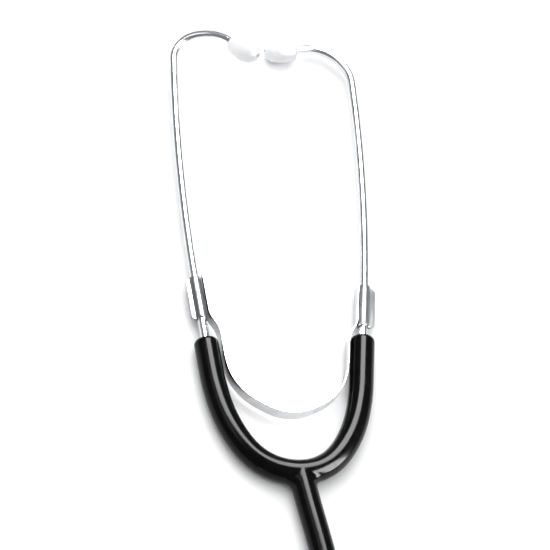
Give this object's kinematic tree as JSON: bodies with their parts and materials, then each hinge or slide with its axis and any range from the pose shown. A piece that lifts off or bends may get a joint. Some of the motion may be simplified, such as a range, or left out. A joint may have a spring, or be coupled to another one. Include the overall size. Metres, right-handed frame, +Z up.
{
  "type": "stethoscope",
  "caption": "Stethoscope lying flat: chromed ear tubes with white tips, a leaf spring between them, black U-shaped tubing running into a hose, and a turning chestpiece with diaphragm and bell",
  "frame": {"origin": "On the table, under the middle of the footprint of everything but the hose", "axes": "+Y runs from the Y-junction to the ear tips, +Z is up from the table, +X is to the right with the ear tips pointing away"},
  "size_m": [0.167, 0.5148, 0.0325],
  "materials": {
    "black_tubing": "glossy moulded black tubing",
    "chrome": "polished chrome plate",
    "spring_chrome": "chromed spring steel",
    "tip_plastic": "smooth white plastic",
    "chest_chrome": "polished chrome plate",
    "rim_plastic": "satin black",
    "membrane": "thin translucent film, satin",
    "steel": "plain steel"
  },
  "bodies": {
    "tubing": {"y_tubing": "black_tubing", "leaf_spring": "spring_chrome", "hose": "black_tubing", "chest_stem": "chest_chrome"},
    "left_side": {"spring_clip_left": "spring_chrome"},
    "right_side": {"spring_clip_right": "spring_chrome"},
    "left_ear_tube": {"ear_tube_left": "chrome", "ear_tip_left": "tip_plastic"},
    "right_ear_tube": {"ear_tube_right": "chrome", "ear_tip_right": "tip_plastic"},
    "chestpiece": {"chest_head": "chest_chrome", "diaphragm": "membrane", "diaphragm_ring": "rim_plastic", "bell_ring": "rim_plastic", "detent_ball": "steel", "detent_spring": "steel", "detent_screw": "steel"}
  },
  "joints": [
    {"name": "left_opening", "type": "hinge", "parent": "tubing", "child": "left_side", "pos_m": [0.02892, -0.02985, 0.00665], "axis": [0, 0, 1], "range_deg": [-1, 18], "stiffness_Nm_per_rad": 4.5, "deforming": ["leaf_spring", "y_tubing"]},
    {"name": "right_opening", "type": "hinge", "parent": "tubing", "child": "right_side", "pos_m": [0.02892, -0.02985, 0.00665], "axis": [0, 0, -1], "range_deg": [-1, 18], "stiffness_Nm_per_rad": 4.5, "deforming": ["leaf_spring", "y_tubing"]},
    {"name": "left_tube_twist", "type": "hinge", "parent": "left_side", "child": "left_ear_tube", "pos_m": [-0.01528, 0.02135, 0.00665], "axis": [0.109, -0.994, 0], "range_deg": [-12, 30]},
    {"name": "right_tube_twist", "type": "hinge", "parent": "right_side", "child": "right_ear_tube", "pos_m": [0.07312, 0.02135, 0.00665], "axis": [0.109, 0.994, 0], "range_deg": [0, 30]},
    {"name": "chestpiece_turn", "type": "hinge", "parent": "tubing", "child": "chestpiece", "pos_m": [-0.06058, -0.17065, 0.01365], "axis": [0, 1, 0], "range_deg": [0, 180]}
  ],
  "couplings": [
    {"joint": "right_opening", "follows": "left_opening", "ratio": 1}
  ]
}
